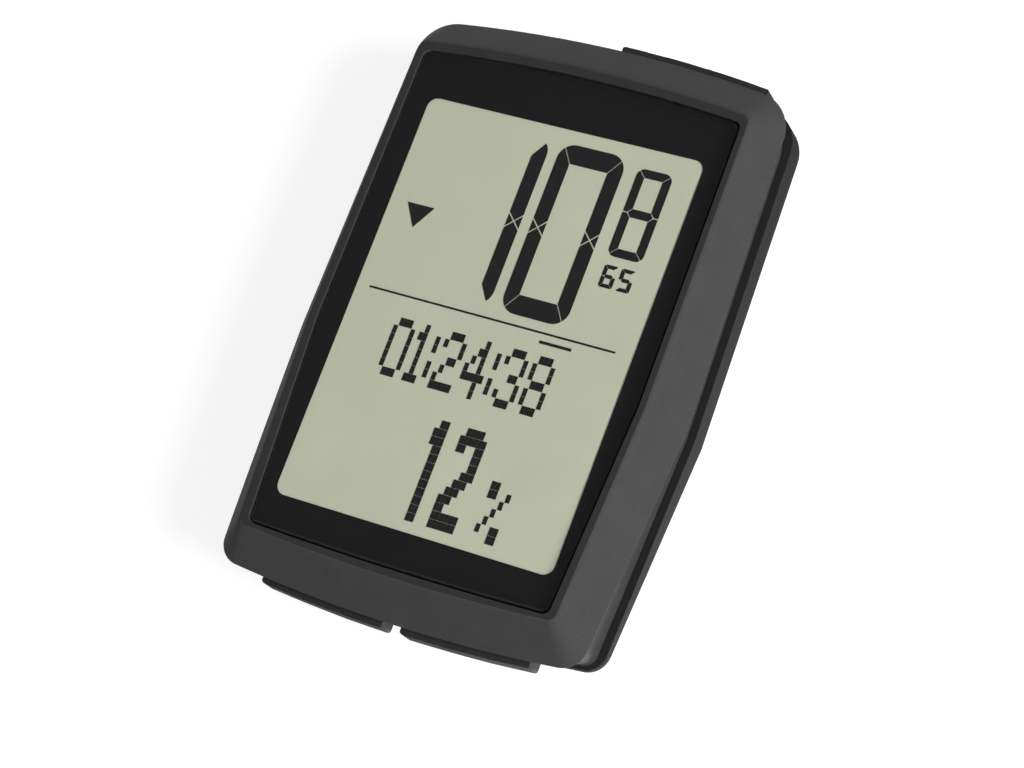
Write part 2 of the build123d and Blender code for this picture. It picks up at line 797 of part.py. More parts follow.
# ---- Push buttons, their seals and their switches ----
for button in buttons:
    face = switch_face(button)
    barb_far = seat(button) - seal_thickness - barb_gap
    barb_near = barb_far - barb_length
    tip = barb_near - tip_length
    middle = button.stem_x
    proud = button_proud_top if button.end > 0 else button_proud_bottom
    standoff = button_travel + button_stop_gap
    spots = (button.start, (button.start + button.stop) / 2, button.stop)
    outer = [(x, button.end * (arch(edge_outline, button.end, x) + proud)) for x in spots]
    inner = [(x, button.end * (arch(waist_outline, button.end, x) + standoff)) for x in spots]

    with BuildPart() as push_button:
        with BuildSketch(Plane.XY.offset(button_low)) as cap:
            with BuildLine() as cap_edge:
                ThreePointArc(*outer)
                Line(outer[-1], inner[-1])
                ThreePointArc(*reversed(inner))
                Line(inner[0], outer[0])
            make_face(cap_edge.edges())
        extrude(cap.sketch, amount=button_height)
        outer_face = faces().sort_by(Axis.Y)[-1 if button.end > 0 else 0]
        fillet(outer_face.edges(), radius=button_round)
        cap_inner = arch(waist_outline, button.end, middle) + standoff
        end_block(button, tip, cap_inner + button_round, *stem_size)
        end_block(button, barb_near, barb_far, stem_size[0] + 2 * barb_reach, stem_size[1])
    write(push_button, f"button_{button.name}")

    with BuildPart() as button_seal:
        end_block(button, seat(button) - seal_thickness, seat(button), *seal_size)
        end_block(button, seat(button) - seal_thickness, seat(button), stem_size[0] + 2 * seal_fit,
                  stem_size[1] + 2 * seal_fit, Mode.SUBTRACT)
    write(button_seal, f"button_seal_{button.name}")

    with BuildPart() as switch_body:
        block(middle, button.end * (face - switch_size[1] / 2), board_top, switch_size)
        end_block(button, face - plunger_depth - button_travel - 2 * plunger_fit, face,
                  plunger_size[0] + 2 * plunger_fit, plunger_size[1] + 2 * plunger_fit, Mode.SUBTRACT)
    write(switch_body, f"switch_body_{button.name}")

    with BuildPart() as switch_plunger:
        end_block(button, face - plunger_depth, face + plunger_proud, *plunger_size)
    write(switch_plunger, f"switch_plunger_{button.name}")

# ---- Coin cell and its contacts ----
with BuildPart() as coin_cell:
    disc(0, 0, cell_z, cell_radius, cell_height - cell_cap_step)
    fillet(edges().group_by(Axis.Z)[0], radius=cell_round)
    disc(0, 0, cell_z, cell_radius - cell_rim, cell_height)
write(coin_cell, "coin_cell")

leaf_x = cell_radius + contact_gap
leaf_low = thread_top + contact_slot_gap
with BuildPart() as positive_contact:
    block(leaf_x + contact_thickness / 2, 0, leaf_low,
          (contact_thickness, contact_width, board_height - leaf_low))
    block(leaf_x + contact_tab / 2, 0, board_height - contact_thickness,
          (contact_tab, contact_width, contact_thickness))
write(positive_contact, "positive_contact")

finger_top = board_height - contact_thickness / 2
finger_low = cell_top + contact_thickness / 2 + contact_gap
with BuildPart() as negative_contact:
    with BuildSketch(Plane.XZ) as finger:
        with BuildLine() as finger_path:
            Polyline((-finger_root, finger_top), (0, finger_top), (finger_reach, finger_low))
        trace(finger_path.edges(), line_width=contact_thickness)
    extrude(finger.sketch, amount=finger_width / 2, both=True)
write(negative_contact, "negative_contact")

# ---- Battery cover and its seal ----
head_outer = spigot_radius + head_overlap
with BuildPart() as battery_cover:
    disc(0, 0, cover_recess, head_outer, head_thickness)
    fillet(edges().group_by(Axis.Z)[0], radius=cover_round)
    disc(0, 0, head_top, spigot_radius, thread_top - cup_top_gap - head_top)
    disc(0, 0, cup_z, cell_radius + cup_clearance, thread_top - cup_z, Mode.SUBTRACT)
    with BuildSketch(Plane.XY.offset(cover_recess)) as slot:
        SlotOverall(coin_slot[0], coin_slot[1])
    extrude(slot.sketch, amount=coin_slot[2], mode=Mode.SUBTRACT)
write(battery_cover, "battery_cover")

seal_radius = seal_space / 2 - seal_squeeze_gap
with BuildPart() as cover_seal:
    with BuildSketch(Plane.XZ):
        with Locations((spigot_radius + thread_fit + seal_radius, ledge_low - seal_space / 2)):
            Circle(seal_radius)
    revolve(axis=Axis.Z)
write(cover_seal, "cover_seal")
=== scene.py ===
"""Builds the looks of a cycling computer's head unit round its fixed CAD frame.

Each sub-assembly is a class that holds its sizes in metres, makes its meshes and dresses them. Only the
signs that the display shows are drawn in millimetres. Finishes are small classes that write their own node
trees. Pieces that repeat are grown by Geometry Nodes.
"""

from __future__ import annotations

import json
import logging
import math
from dataclasses import dataclass, field
from enum import Enum
from typing import Any, Iterable, Sequence

import bmesh
import bpy
from mathutils import Matrix, Vector

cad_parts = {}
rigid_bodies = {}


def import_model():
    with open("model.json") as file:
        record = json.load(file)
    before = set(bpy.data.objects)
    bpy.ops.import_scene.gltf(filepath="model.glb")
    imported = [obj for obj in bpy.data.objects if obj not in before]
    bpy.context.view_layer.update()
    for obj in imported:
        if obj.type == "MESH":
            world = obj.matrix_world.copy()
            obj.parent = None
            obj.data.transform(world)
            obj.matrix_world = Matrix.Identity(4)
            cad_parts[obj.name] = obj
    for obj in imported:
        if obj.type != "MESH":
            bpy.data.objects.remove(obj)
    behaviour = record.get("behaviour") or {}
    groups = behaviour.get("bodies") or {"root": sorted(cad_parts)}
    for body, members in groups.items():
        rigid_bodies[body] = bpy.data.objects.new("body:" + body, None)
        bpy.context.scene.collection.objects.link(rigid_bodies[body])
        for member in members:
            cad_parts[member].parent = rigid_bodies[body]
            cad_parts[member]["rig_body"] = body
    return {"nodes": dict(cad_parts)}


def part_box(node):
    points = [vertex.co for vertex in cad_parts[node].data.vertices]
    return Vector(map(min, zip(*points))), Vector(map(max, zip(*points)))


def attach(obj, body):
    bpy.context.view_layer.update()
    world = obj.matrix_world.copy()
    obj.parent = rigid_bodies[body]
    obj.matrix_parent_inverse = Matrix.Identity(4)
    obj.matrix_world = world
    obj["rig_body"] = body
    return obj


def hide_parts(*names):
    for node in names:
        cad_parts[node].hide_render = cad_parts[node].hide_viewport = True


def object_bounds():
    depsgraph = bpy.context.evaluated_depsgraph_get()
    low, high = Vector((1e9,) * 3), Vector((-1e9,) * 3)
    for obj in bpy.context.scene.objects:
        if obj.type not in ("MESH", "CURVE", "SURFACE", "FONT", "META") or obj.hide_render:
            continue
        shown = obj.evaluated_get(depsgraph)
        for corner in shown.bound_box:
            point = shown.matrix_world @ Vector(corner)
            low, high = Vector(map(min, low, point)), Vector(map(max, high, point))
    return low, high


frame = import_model()
case_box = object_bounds()

log = logging.getLogger("head_unit")

MM = 0.001
Point = tuple[float, float]
Colour = tuple[float, float, float]


def srgb(red: int, green: int, blue: int) -> Colour:
    """Turn a colour of 0 to 255 per channel into the linear values that shaders use."""
    shares = (value / 255 for value in (red, green, blue))
    return tuple(s / 12.92 if s <= 0.04045 else ((s + 0.055) / 1.055) ** 2.4 for s in shares)


def put_in_scene(name: str, data: bpy.types.ID) -> bpy.types.Object:
    """Add an object that holds the data to the scene.

    Args:
        name: The object's name.
        data: Its mesh, lamp or camera.

    Returns:
        The object.
    """
    holder = bpy.data.objects.new(name, data)
    bpy.context.scene.collection.objects.link(holder)
    return holder


def as_mesh(name: str, shape: bmesh.types.BMesh, smooth: bool) -> bpy.types.Mesh:
    """Turn a finished shape into a mesh and free it.

    Args:
        name: The mesh's name.
        shape: The shape.
        smooth: Whether its faces are shaded smooth.

    Returns:
        The mesh.
    """
    mesh = bpy.data.meshes.new(name)
    shape.to_mesh(mesh)
    shape.free()
    for face in mesh.polygons:
        face.use_smooth = smooth
    return mesh


# ---- Node trees ----


class Field:
    """One socket of a tree, read as a number in an expression."""

    def __init__(self, tree: "NodeTree", socket: bpy.types.NodeSocket) -> None:
        """Keep the tree and the socket."""
        self.tree = tree
        self.socket = socket

    def _join(self, operation: str, first: Any, second: Any, clamp: bool = False) -> "Field":
        """Add one Math node.

        Args:
            operation: The Math node's operation.
            first: Its first value, a number or a field.
            second: Its second value, a number or a field.
            clamp: Whether the result is held between 0 and 1.

        Returns:
            The node's result.
        """
        settings = {"operation": operation, "use_clamp": clamp}
        return Field(self.tree, self.tree.node("ShaderNodeMath", settings, {0: first, 1: second}).outputs[0])

    def __add__(self, other: Any) -> "Field":
        """Add."""
        return self._join("ADD", self, other)

    __radd__ = __add__

    def __mul__(self, other: Any) -> "Field":
        """Multiply."""
        return self._join("MULTIPLY", self, other)

    __rmul__ = __mul__

    def __sub__(self, other: Any) -> "Field":
        """Subtract."""
        return self._join("SUBTRACT", self, other)

    def __rsub__(self, other: Any) -> "Field":
        """Subtract from a number."""
        return self._join("SUBTRACT", other, self)

    def __truediv__(self, other: Any) -> "Field":
        """Divide."""
        return self._join("DIVIDE", self, other)

    def __gt__(self, other: Any) -> "Field":
        """Give 1 where the field is more than the other value."""
        return self._join("GREATER_THAN", self, other)

    def __lt__(self, other: Any) -> "Field":
        """Give 1 where the field is less than the other value."""
        return self._join("LESS_THAN", self, other)

    def __mod__(self, other: Any) -> "Field":
        """Wrap round, always to a positive value."""
        return self._join("FLOORED_MODULO", self, other)

    def higher(self, other: Any) -> "Field":
        """Take the larger of the two."""
        return self._join("MAXIMUM", self, other)

    def size(self) -> "Field":
        """Drop the sign."""
        return self._join("ABSOLUTE", self, 0.0)

    def ramp(self, low: float, high: float) -> "Field":
        """Stretch the span from low to high over 0 to 1, and clamp it."""
        return self._join("MULTIPLY", self - low, 1 / (high - low), clamp=True)


class NodeTree:
    """A node tree, with the one method that adds nodes to it."""

    def __init__(self, tree: bpy.types.NodeTree) -> None:
        """Keep the tree."""
        self.tree = tree

    def node(self, kind: str, settings: dict[str, Any] | None = None,
             values: dict[Any, Any] | None = None) -> bpy.types.Node:
        """Add a node, set it up and feed it.

        Args:
            kind: The node's type name.
            settings: Its properties, set before its sockets.
            values: Numbers, vectors, sockets or fields for its inputs, by name or place.

        Returns:
            The new node.
        """
        made = self.tree.nodes.new(kind)
        for key, value in (settings or {}).items():
            setattr(made, key, value)
        for key, value in (values or {}).items():
            self.feed(made.inputs[key], value)
        return made

    def feed(self, socket: bpy.types.NodeSocket, value: Any) -> None:
        """Link a socket or field into an input, or set the input's own value.

        Args:
            socket: The input.
            value: A field, a socket, or a plain value.
        """
        source = value.socket if isinstance(value, Field) else value
        if isinstance(source, bpy.types.NodeSocket):
            self.tree.links.new(source, socket)
        else:
            socket.default_value = source


class Surface(NodeTree):
    """The node tree of one material, round its Principled shader."""

    def __init__(self, name: str) -> None:
        """Start a material.

        Args:
            name: The material's name.
        """
        self.material = bpy.data.materials.new(name)
        self.material.use_nodes = True
        super().__init__(self.material.node_tree)
        self.shader = self.tree.nodes["Principled BSDF"]
        self.output = self.tree.nodes["Material Output"]
        self.place = self.node("ShaderNodeTexCoord").outputs["Object"]

    def axis(self, index: int) -> Field:
        """Read one coordinate of the place on the object, in metres."""
        return Field(self, self.node("ShaderNodeSeparateXYZ", None, {0: self.place}).outputs[index])

    def distance(self) -> Field:
        """Measure how far the place on the object is from its origin, in metres."""
        length = self.node("ShaderNodeVectorMath", {"operation": "LENGTH"}, {0: self.place})
        return Field(self, length.outputs["Value"])

    def stretched(self, scale: Sequence[float]) -> bpy.types.NodeSocket:
        """Scale the place on the object along each axis."""
        return self.node("ShaderNodeMapping", None, {"Vector": self.place, "Scale": scale}).outputs[0]

    def noise(self, grain: float, detail: float = 3.0, scale: Sequence[float] | None = None) -> Field:
        """Add soft noise.

        Args:
            grain: The size of its blobs, in metres.
            detail: How many finer layers it has.
            scale: How much it is squeezed along each axis.

        Returns:
            The noise, from 0 to 1.
        """
        vector = self.stretched(scale) if scale else self.place
        values = {"Vector": vector, "Scale": 1 / grain, "Detail": detail}
        return Field(self, self.node("ShaderNodeTexNoise", None, values).outputs[0])

    def cells(self, grain: float) -> Field:
        """Add cell noise whose cells are grain metres wide, from 0 at each cell's middle."""
        values = {"Vector": self.place, "Scale": 1 / grain}
        return Field(self, self.node("ShaderNodeTexVoronoi", None, values).outputs["Distance"])

    def blend(self, share: Any, first: Any, second: Any) -> bpy.types.NodeSocket:
        """Mix two colours.

        Args:
            share: 0 for the first and 1 for the second.
            first: A colour or a socket.
            second: A colour or a socket.

        Returns:
            The mixed colour.
        """
        colours = [(*c, 1.0) if isinstance(c, tuple) else c for c in (first, second)]
        values = {0: share, 6: colours[0], 7: colours[1]}
        return self.node("ShaderNodeMix", {"data_type": "RGBA"}, values).outputs[2]

    def relief(self, height: Any, depth: float) -> bpy.types.NodeSocket:
        """Turn a height field into a normal, depth metres from lowest to highest."""
        return self.node("ShaderNodeBump", None, {"Distance": depth, "Height": height}).outputs[0]

    def open_up(self, share: Field, tint: Colour) -> None:
        """Let some rays straight through the surface.

        Args:
            share: 1 for the rays that go through and 0 for the rest.
            tint: The colour that they take.
        """
        sheet = self.node("ShaderNodeBsdfTransparent", None, {0: (*tint, 1.0)})
        shaders = {0: share, 1: self.shader.outputs[0], 2: sheet.outputs[0]}
        mixed = self.node("ShaderNodeMixShader", None, shaders)
        self.tree.links.new(mixed.outputs[0], self.output.inputs["Surface"])

    def dress(self, **sockets: Any) -> bpy.types.Material:
        """Feed the Principled shader.

        Args:
            **sockets: Values or links by socket name, with underscores for spaces.

        Returns:
            The finished material.
        """
        for name, value in sockets.items():
            if isinstance(value, tuple) and len(value) == 3:
                value = (*value, 1.0)
            self.feed(self.shader.inputs[name.replace("_", " ")], value)
        return self.material


# ---- Finishes ----


@dataclass(frozen=True)
class Moulded:
    """Moulded plastic or rubber with a fine spark-eroded grain and faint gloss patches."""

    colour: Colour
    gloss: float = 0.5
    grain: float = 0.16 * MM
    depth: float = 0.006 * MM
    mottle: float = 0.12
    patch: float = 2.6 * MM
    shine: float = 0.5

    def material(self, name: str) -> bpy.types.Material:
        """Write the finish as a material.

        Args:
            name: The material's name.

        Returns:
            The material.
        """
        surface = Surface(name)
        fine = surface.noise(self.grain, 2.0)
        broad = surface.noise(self.patch, 4.0)
        pits = surface.cells(self.grain * 1.7).ramp(0.1, 0.6)
        share = (fine * 0.6 + broad * 0.4).ramp(0.3, 0.7)
        dark = tuple(c * (1 - self.mottle) for c in self.colour)
        light = tuple(c * (1 + self.mottle) for c in self.colour)
        return surface.dress(
            Base_Color=surface.blend(share, dark, light),
            Roughness=(1 - self.gloss) + (broad - 0.5) * 0.12 + (fine - 0.5) * 0.1,
            Specular_IOR_Level=self.shine,
            Normal=surface.relief(fine * 0.7 + pits * 0.3, self.depth),
        )


@dataclass(frozen=True)
class Brushed:
    """Metal with fine lines along one axis and a faint stain."""

    colour: Colour
    roughness: float = 0.32
    line: float = 0.05 * MM
    along: tuple[float, float, float] = (0.08, 1.0, 1.0)

    def material(self, name: str) -> bpy.types.Material:
        """Write the finish as a material.

        Args:
            name: The material's name.

        Returns:
            The material.
        """
        surface = Surface(name)
        lines = surface.noise(self.line, 3.0, self.along)
        stain = surface.noise(60 * self.line, 4.0).ramp(0.35, 0.75)
        dark = tuple(c * 0.72 for c in self.colour)
        return surface.dress(
            Base_Color=surface.blend(stain, self.colour, dark),
            Metallic=1.0,
            Roughness=(lines - 0.5) * 0.22 + stain * 0.12 + self.roughness,
            Normal=surface.relief(lines, 0.002 * MM),
        )


@dataclass(frozen=True)
class ClearSheet:
    """Clear hard-coated plastic or glass, which lets the lamps through to what lies under it."""

    tint: Colour
    refraction: float
    haze: float = 0.015
    smear: float = 7 * MM

    def material(self, name: str) -> bpy.types.Material:
        """Write the finish as a material.

        Args:
            name: The material's name.

        Returns:
            The material.
        """
        surface = Surface(name)
        smear = surface.noise(self.smear, 2.0).ramp(0.45, 0.8)
        surface.dress(
            Base_Color=self.tint,
            Transmission_Weight=1.0,
            IOR=self.refraction,
            Roughness=smear * 0.03 + self.haze,
        )
        path = surface.node("ShaderNodeLightPath")
        passing = Field(surface, path.outputs["Is Shadow Ray"])
        passing = passing.higher(Field(surface, path.outputs["Is Diffuse Ray"]))
        surface.open_up(passing, self.tint)
        return surface.material


@dataclass(frozen=True)
class Ink:
    """Opaque screen-printed ink with a faint mesh in it."""

    colour: Colour
    mesh: float = 0.12 * MM
    shine: float = 0.12

    def material(self, name: str) -> bpy.types.Material:
        """Write the finish as a material.

        Args:
            name: The material's name.

        Returns:
            The material.
        """
        surface = Surface(name)
        dots = surface.cells(self.mesh).ramp(0.0, 0.7)
        cloud = surface.noise(5 * MM, 3.0)
        light = tuple(c * 1.35 for c in self.colour)
        return surface.dress(
            Base_Color=surface.blend(dots * 0.5 + cloud * 0.5, self.colour, light),
            Roughness=cloud * 0.1 + 0.45,
            Specular_IOR_Level=self.shine,
            Normal=surface.relief(dots, 0.0003 * MM),
        )


@dataclass(frozen=True)
class ReflectiveDisplay:
    """The grey-green face of a reflective display: a polarizer over a brushed silver film."""

    colour: Colour
    grain: float = 0.06 * MM

    def material(self, name: str) -> bpy.types.Material:
        """Write the finish as a material.

        Args:
            name: The material's name.

        Returns:
            The material.
        """
        surface = Surface(name)
        streak = surface.noise(self.grain, 3.0, (1.0, 0.12, 1.0))
        cloud = surface.noise(9 * MM, 2.0)
        light = tuple(min(1.0, c * 1.06) for c in self.colour)
        dark = tuple(c * 0.94 for c in self.colour)
        return surface.dress(
            Base_Color=surface.blend((streak * 0.55 + cloud * 0.45).ramp(0.3, 0.7), dark, light),
            Roughness=streak * 0.15 + 0.5,
            Specular_IOR_Level=0.2,
            Normal=surface.relief(streak, 0.0005 * MM),
        )


@dataclass(frozen=True)
class BoardMask:
    """Solder mask over copper, with traces that run along the board and round vias."""

    mask: Colour
    trace: Colour
    pitch: float = 0.8 * MM

    def material(self, name: str) -> bpy.types.Material:
        """Write the finish as a material.

        Args:
            name: The material's name.

        Returns:
            The material.
        """
        surface = Surface(name)
        bend = surface.noise(7 * MM, 1.0) * 0.004
        run = ((surface.axis(0) + bend) % self.pitch).ramp(0.42 * self.pitch, 0.5 * self.pitch)
        side = ((surface.axis(0) + bend) % self.pitch).ramp(0.8 * self.pitch, 0.9 * self.pitch)
        area = surface.noise(6 * MM, 1.0).ramp(0.48, 0.5)
        copper = (run - side) * area
        vias = 1 - surface.cells(2.3 * MM).ramp(0.12, 0.16)
        colour = surface.blend(copper, self.mask, self.trace)
        return surface.dress(
            Base_Color=surface.blend(vias, colour, srgb(176, 160, 110)),
            Metallic=vias * 0.9,
            Roughness=0.34 - vias * 0.08,
            Normal=surface.relief(copper, 0.02 * MM),
        )


@dataclass(frozen=True)
class Wound:
    """Enamelled wire wound side by side along X, with painted shade in the creases between turns."""

    colour: Colour
    wire: float = 0.2 * MM

    def material(self, name: str) -> bpy.types.Material:
        """Write the finish as a material.

        Args:
            name: The material's name.

        Returns:
            The material.
        """
        surface = Surface(name)
        turn = (surface.axis(0) % self.wire) / self.wire - 0.5
        ridge = 1 - (turn * turn) * 4
        # Each turn darkens towards its sides: painted shade in the creases between turns.
        dark = tuple(c * 0.45 for c in self.colour)
        return surface.dress(
            Base_Color=surface.blend(ridge, dark, self.colour),
            Metallic=1.0,
            Roughness=surface.noise(0.5 * MM) * 0.15 + 0.22,
            Normal=surface.relief(ridge, 0.06 * MM),
        )


@dataclass(frozen=True)
class ChipCapacitor:
    """A beige ceramic block whose ends are tinned."""

    ceramic: Colour
    tin: Colour
    pitch: float = 2.6 * MM
    block: float = 1.6 * MM
    band: float = 0.32 * MM

    def material(self, name: str) -> bpy.types.Material:
        """Write the finish as a material.

        Args:
            name: The material's name.

        Returns:
            The material.
        """
        surface = Surface(name)
        along = (surface.axis(0) % self.pitch) - self.pitch / 2
        ends = along.size() > (self.block / 2 - self.band)
        speck = surface.noise(0.12 * MM)
        ceramic = surface.blend(speck, self.ceramic, tuple(c * 0.8 for c in self.ceramic))
        return surface.dress(
            Base_Color=surface.blend(ends, ceramic, self.tin),
            Metallic=ends * 0.9,
            Roughness=speck * 0.2 + 0.35,
            Normal=surface.relief(speck, 0.004 * MM),
        )


@dataclass(frozen=True)
class FlexRibbon:
    """Amber film with copper lines that show through it, side by side across X."""

    film: Colour
    line: Colour
    pitch: float = 0.5 * MM

    def material(self, name: str) -> bpy.types.Material:
        """Write the finish as a material.

        Args:
            name: The material's name.

        Returns:
            The material.
        """
        surface = Surface(name)
        lines = ((surface.axis(0) % self.pitch) - self.pitch / 2).size() < self.pitch * 0.2
        return surface.dress(
            Base_Color=surface.blend(lines, self.film, self.line),
            Metallic=lines * 0.5,
            Roughness=surface.noise(1.5 * MM) * 0.15 + 0.3,
            Normal=surface.relief(lines, 0.01 * MM),
        )


class Slot(Enum):
    """The record's material slots."""

    CASE = "case_plastic"
    BUTTON = "button_plastic"
    LENS = "lens_clear"
    INK = "border_ink"
    TAPE = "adhesive"
    FILM = "display_film"
    GLASS = "display_glass"
    REFLECTOR = "reflector_film"
    CHIP = "chip_black"
    FRAME = "frame_plastic"
    FLEX = "flex_film"
    CONNECTOR = "connector_plastic"
    BOARD = "board"
    CAN = "metal_can"
    COPPER = "copper"
    FERRITE = "ferrite"
    MEMBRANE = "membrane"
    CERAMIC = "ceramic"
    SEAL = "seal_rubber"
    GASKET = "gasket_rubber"
    SWITCH = "switch_black"
    PLUNGER = "plunger_white"
    CELL = "cell_steel"
    CONTACT = "contact_spring"
    SCREW = "screw_steel"


FINISHES: dict[Slot, Any] = {
    Slot.CASE: Moulded(srgb(64, 63, 64), gloss=0.5, shine=0.12),
    Slot.BUTTON: Moulded(srgb(45, 44, 45), gloss=0.45, grain=0.13 * MM, shine=0.04),
    Slot.LENS: ClearSheet((0.97, 0.98, 0.97), 1.49),
    Slot.INK: Ink(srgb(15, 14, 16)),
    Slot.TAPE: Moulded(srgb(30, 30, 31), gloss=0.25, grain=0.4 * MM),
    Slot.FILM: ReflectiveDisplay(srgb(188, 190, 170)),
    Slot.GLASS: ClearSheet((0.93, 0.97, 0.95), 1.52),
    Slot.REFLECTOR: Brushed((0.72, 0.74, 0.72), 0.4),
    Slot.CHIP: Moulded(srgb(34, 34, 36), gloss=0.35, grain=0.1 * MM),
    Slot.FRAME: Moulded(srgb(214, 214, 208), gloss=0.4),
    Slot.FLEX: FlexRibbon(srgb(176, 104, 30), srgb(196, 128, 70)),
    Slot.CONNECTOR: Moulded(srgb(226, 220, 200), gloss=0.45),
    Slot.BOARD: BoardMask(srgb(16, 74, 44), srgb(38, 112, 62)),
    Slot.CAN: Brushed((0.66, 0.66, 0.67), 0.3, along=(1.0, 0.08, 1.0)),
    Slot.COPPER: Wound(srgb(196, 112, 62)),
    Slot.FERRITE: Moulded(srgb(52, 50, 50), gloss=0.3, grain=0.25 * MM, depth=0.012 * MM),
    Slot.MEMBRANE: Moulded(srgb(232, 232, 228), gloss=0.2, grain=0.08 * MM),
    Slot.CERAMIC: ChipCapacitor(srgb(182, 150, 112), (0.7, 0.7, 0.7)),
    Slot.SEAL: Moulded(srgb(32, 32, 33), gloss=0.35, grain=0.3 * MM),
    Slot.GASKET: Moulded(srgb(38, 38, 40), gloss=0.3, grain=0.3 * MM),
    Slot.SWITCH: Moulded(srgb(28, 28, 29), gloss=0.45),
    Slot.PLUNGER: Moulded(srgb(228, 228, 224), gloss=0.5),
    Slot.CELL: Brushed((0.68, 0.68, 0.67), 0.26),
    Slot.CONTACT: Brushed((0.72, 0.66, 0.5), 0.28),
    Slot.SCREW: Brushed((0.52, 0.52, 0.53), 0.34, along=(1.0, 0.1, 1.0)),
}

# A darker copy of the case plastic for the lower shell: its darker colour is painted shade on the shell's
# sides and back.
BACK_PAINTED_SHADE = Moulded(srgb(37, 36, 37), gloss=0.42, grain=0.22 * MM, shine=0.02)
# A darker copy of the case plastic for the flat up-facing rim round the lens: its darker colour is painted
# shade.
RIM_PAINTED_SHADE = Moulded(srgb(49, 48, 49), gloss=0.55, grain=0.12 * MM, shine=0.1)


@dataclass
class Paintbox:
    """One material for each slot, written when it is first asked for."""

    ready: dict[Slot, bpy.types.Material] = field(default_factory=dict)

    def material(self, slot: Slot) -> bpy.types.Material:
        """Give the material of a slot.

        Args:
            slot: The record's slot.

        Returns:
            Its material.
        """
        if slot not in self.ready:
            self.ready[slot] = FINISHES[slot].material(slot.value)
        return self.ready[slot]


# ---- Geometry Nodes ----


class Growth(NodeTree):
    """A Geometry Nodes tree with named sizes, which sets a small shape on every point of a base mesh."""

    def __init__(self, name: str, sizes: dict[str, float]) -> None:
        """Start the tree.

        Args:
            name: The tree's name.
            sizes: Its named inputs and their values.
        """
        super().__init__(bpy.data.node_groups.new(name, "GeometryNodeTree"))
        self.sizes = sizes
        sockets = self.tree.interface
        sockets.new_socket("Geometry", in_out="INPUT", socket_type="NodeSocketGeometry")
        self.keys = {
            label: sockets.new_socket(label, in_out="INPUT", socket_type="NodeSocketFloat").identifier
            for label in sizes
        }
        sockets.new_socket("Geometry", in_out="OUTPUT", socket_type="NodeSocketGeometry")
        self.source = self.node("NodeGroupInput")

    def size(self, label: str) -> Field:
        """Read one of the named sizes."""
        return Field(self, self.source.outputs[label])

    def vector(self, x: Any, y: Any, z: Any) -> bpy.types.NodeSocket:
        """Make a vector of three values."""
        return self.node("ShaderNodeCombineXYZ", None, {0: x, 1: y, 2: z}).outputs[0]

    def axis(self, index: int) -> Field:
        """Read one coordinate of the point that is grown on, in metres."""
        place = self.node("GeometryNodeInputPosition").outputs[0]
        return Field(self, self.node("ShaderNodeSeparateXYZ", None, {0: place}).outputs[index])

    def block(self) -> bpy.types.NodeSocket:
        """Make a block whose sides along X, Y and Z are the named sizes, in their order."""
        sides = self.vector(*(self.size(label) for label in self.sizes))
        return self.node("GeometryNodeMeshCube", None, {"Size": sides}).outputs[0]

    def finish(self, shape: bpy.types.NodeSocket, base: bpy.types.Mesh, material: bpy.types.Material,
               turn: Any = None) -> bpy.types.Mesh:
        """Set the shape on the base mesh's points and turn the result into a plain mesh.

        Args:
            shape: The shape's geometry.
            base: A mesh whose points say where the shapes go.
            material: What the shapes are made of.
            turn: A rotation for each point, or None.

        Returns:
            The plain mesh.
        """
        values = {"Points": self.source.outputs["Geometry"], "Instance": shape}
        if turn is not None:
            values["Rotation"] = turn
        placed = self.node("GeometryNodeInstanceOnPoints", None, values)
        real = self.node("GeometryNodeRealizeInstances", None, {0: placed.outputs[0]})
        painted = self.node("GeometryNodeSetMaterial", None,
                            {"Geometry": real.outputs[0], "Material": material})
        self.node("NodeGroupOutput", None, {0: painted.outputs[0]})
        carrier = put_in_scene(self.tree.name, base)
        modifier = carrier.modifiers.new("grow", "NODES")
        modifier.node_group = self.tree
        for label, key in self.keys.items():
            modifier[key] = self.sizes[label]
        graph = bpy.context.evaluated_depsgraph_get()
        mesh = bpy.data.meshes.new_from_object(carrier.evaluated_get(graph))
        carrier.modifiers.clear()
        bpy.data.objects.remove(carrier)
        return mesh


def points_mesh(name: str, points: Iterable[Sequence[float]]) -> bpy.types.Mesh:
    """Make a mesh of loose points.

    Args:
        name: The mesh's name.
        points: Where its points are.

    Returns:
        The mesh.
    """
    mesh = bpy.data.meshes.new(name)
    mesh.from_pydata([tuple(p) for p in points], [], [])
    return mesh


# ---- Sub-assemblies ----


